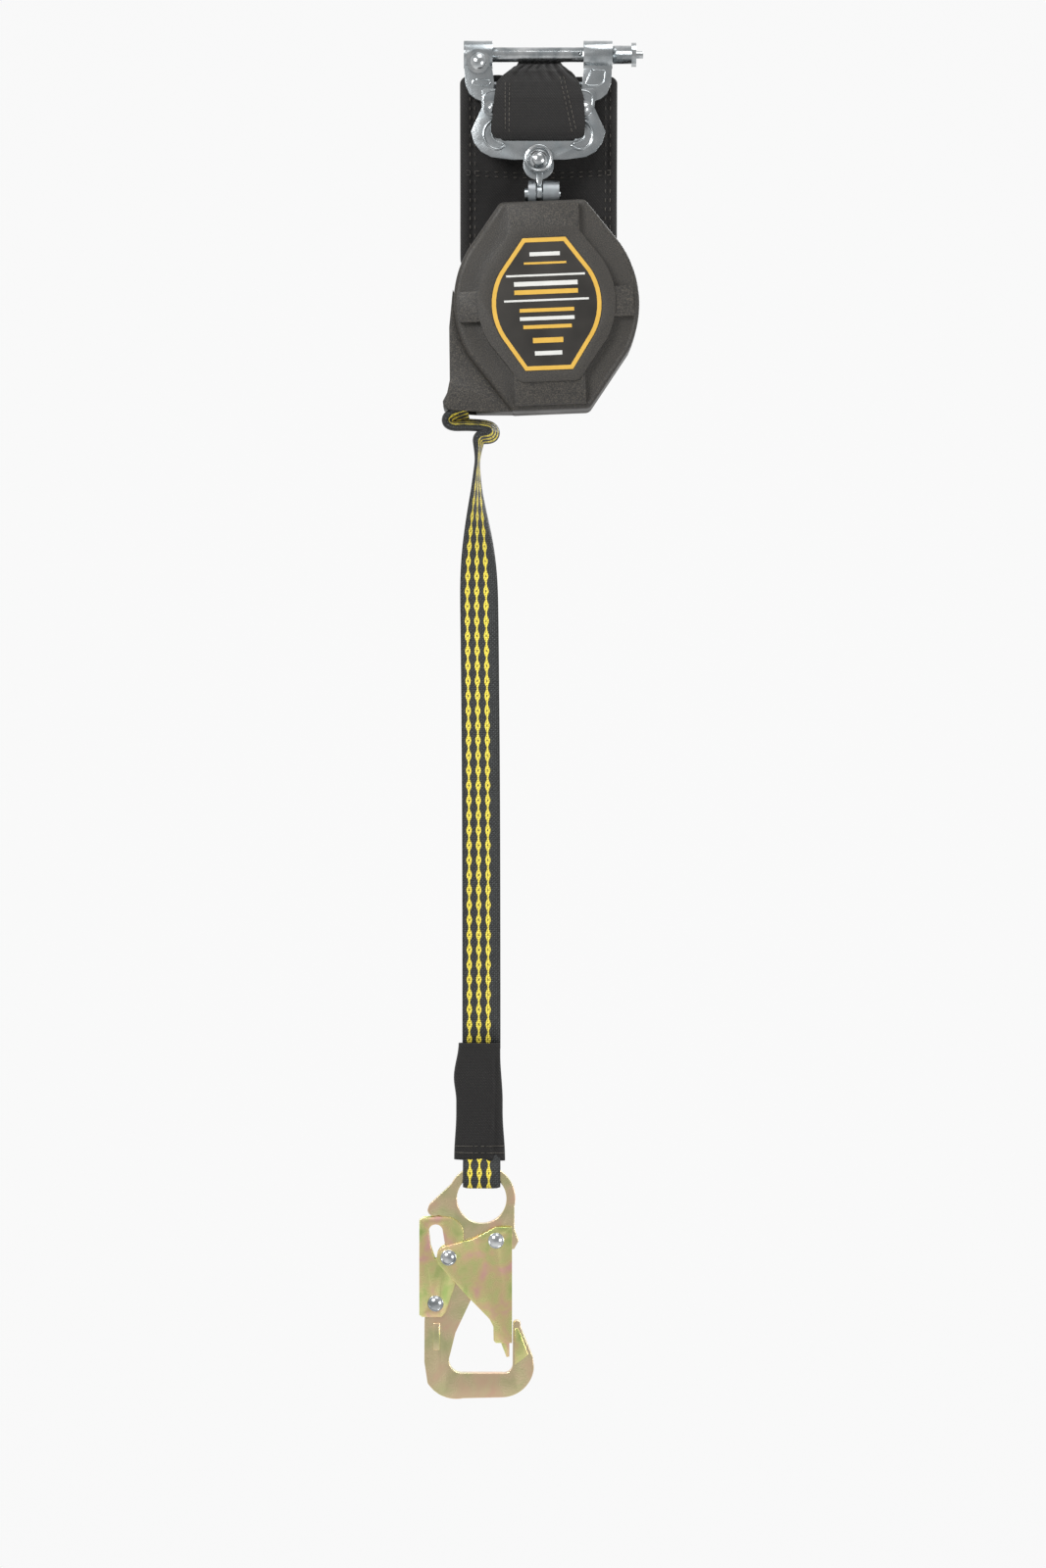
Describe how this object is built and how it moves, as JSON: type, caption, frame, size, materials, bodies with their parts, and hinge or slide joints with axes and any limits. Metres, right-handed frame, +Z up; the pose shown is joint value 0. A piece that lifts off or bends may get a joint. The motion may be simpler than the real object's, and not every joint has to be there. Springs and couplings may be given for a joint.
{
  "type": "self retracting lifeline",
  "caption": "Personal self retracting lifeline: harness connector with a removable cross pin, absorber pack, web drum housing and a web line ending in a locking hook.",
  "frame": {"origin": "centre of the harness connector's cross pin", "axes": "+X along the pin towards its head, +Y away from the housing's label face, +Z up"},
  "size_m": [0.1492, 0.078, 0.906],
  "materials": {
    "plated_steel": "bright zinc plating",
    "pin_steel": "polished",
    "inner_steel": "plain",
    "black_fabric": "woven polyester",
    "web_fabric": "webbing with yellow tracers",
    "shell_plastic": "textured glass-filled nylon",
    "drum_alloy": "machined",
    "label_film": "printed film",
    "hook_steel": "yellow passivated zinc",
    "rivet_steel": "bright"
  },
  "bodies": {
    "connector": {"left_arm": "plated_steel", "right_arm": "plated_steel", "yoke_plate": "plated_steel", "yoke_rivets": "rivet_steel", "knuckle_dome": "rivet_steel", "absorber_bar": "inner_steel", "flap_cover": "black_fabric", "swivel_rivet": "rivet_steel"},
    "lock_pin": {"pin_shaft": "pin_steel", "lock_balls": "rivet_steel"},
    "button": {"pin_button": "pin_steel"},
    "pack": {"absorber_pouch": "black_fabric", "tear_webbing": "black_fabric"},
    "link": {"swivel_link": "plated_steel"},
    "housing": {"front_shell": "shell_plastic", "rear_shell": "shell_plastic", "label_plate": "label_film", "load_frame": "inner_steel", "clevis_pin": "plated_steel", "main_shaft": "inner_steel", "ratchet_ring": "inner_steel", "spring_cup": "shell_plastic", "power_spring": "inner_steel", "web_rollers": "inner_steel", "housing_screws": "inner_steel"},
    "drum": {"web_drum": "drum_alloy", "wound_webbing": "web_fabric", "pawl_pins": "inner_steel"},
    "pawl_a": {"pawl_right": "inner_steel"},
    "pawl_b": {"pawl_left": "inner_steel"},
    "line": {"lifeline_web": "web_fabric", "web_sleeve": "black_fabric"},
    "hook": {"web_loop": "web_fabric", "hook_body": "hook_steel", "gate_pivot": "rivet_steel", "lever_pivot": "rivet_steel"},
    "gate": {"gate_plate": "hook_steel", "gate_studs": "rivet_steel"},
    "lever": {"lock_lever": "hook_steel"}
  },
  "joints": [
    {"name": "pin_pull", "type": "slide", "parent": "connector", "child": "lock_pin", "axis": [1, 0, 0], "range_m": [0, 0.075]},
    {"name": "button_press", "type": "slide", "parent": "lock_pin", "child": "button", "axis": [-1, 0, 0], "range_m": [0, 0.0025], "stiffness_N_per_m": 400, "springref_m": -0.002},
    {"name": "pack_lift", "type": "hinge", "parent": "connector", "child": "pack", "pos_m": [0, 0.008, -0.017], "axis": [1, 0, 0], "range_deg": [0, 50]},
    {"name": "swivel_turn", "type": "hinge", "parent": "connector", "child": "link", "pos_m": [0.0002, -0.0115, -0.0717], "axis": [0, 1, 0], "range_deg": [-20, 20]},
    {"name": "housing_swing", "type": "hinge", "parent": "link", "child": "housing", "pos_m": [0.0008, -0.0115, -0.0958], "axis": [1, 0, 0], "range_deg": [-30, 0]},
    {"name": "line_pull", "type": "slide", "parent": "housing", "child": "line", "axis": [0, 0, -1], "range_m": [-0.385, 1.53], "stiffness_N_per_m": 12, "springref_m": -0.413, "deforming": ["lifeline_web"]},
    {"name": "drum_spin", "type": "hinge", "parent": "housing", "child": "drum", "pos_m": [0.0055, -0.0115, -0.1706], "axis": [0, 1, 0], "continuous": true},
    {"name": "pawl_a_swing", "type": "hinge", "parent": "drum", "child": "pawl_a", "pos_m": [0.0385, -0.028, -0.1706], "axis": [0, -1, 0], "range_deg": [0, 12], "stiffness_Nm_per_rad": 0.003, "springref_deg": -11.46},
    {"name": "pawl_b_swing", "type": "hinge", "parent": "drum", "child": "pawl_b", "pos_m": [-0.0275, -0.028, -0.1706], "axis": [0, -1, 0], "range_deg": [0, 12], "stiffness_Nm_per_rad": 0.003, "springref_deg": -11.46},
    {"name": "hook_swing", "type": "hinge", "parent": "line", "child": "hook", "pos_m": [-0.0376, -0.0115, -0.746], "axis": [1, 0, 0], "range_deg": [-35, 35]},
    {"name": "gate_open", "type": "hinge", "parent": "hook", "child": "gate", "pos_m": [-0.028, -0.0115, -0.791], "axis": [0, 1, 0], "range_deg": [0, 20], "stiffness_Nm_per_rad": 0.4, "springref_deg": -17.19},
    {"name": "lever_press", "type": "hinge", "parent": "hook", "child": "lever", "pos_m": [-0.0682, -0.0115, -0.833], "axis": [0, 1, 0], "range_deg": [0, 8], "stiffness_Nm_per_rad": 0.3, "springref_deg": -11.46}
  ],
  "couplings": [
    {"joint": "drum_spin", "follows": "line_pull", "rad_per_m": -28.62}
  ]
}
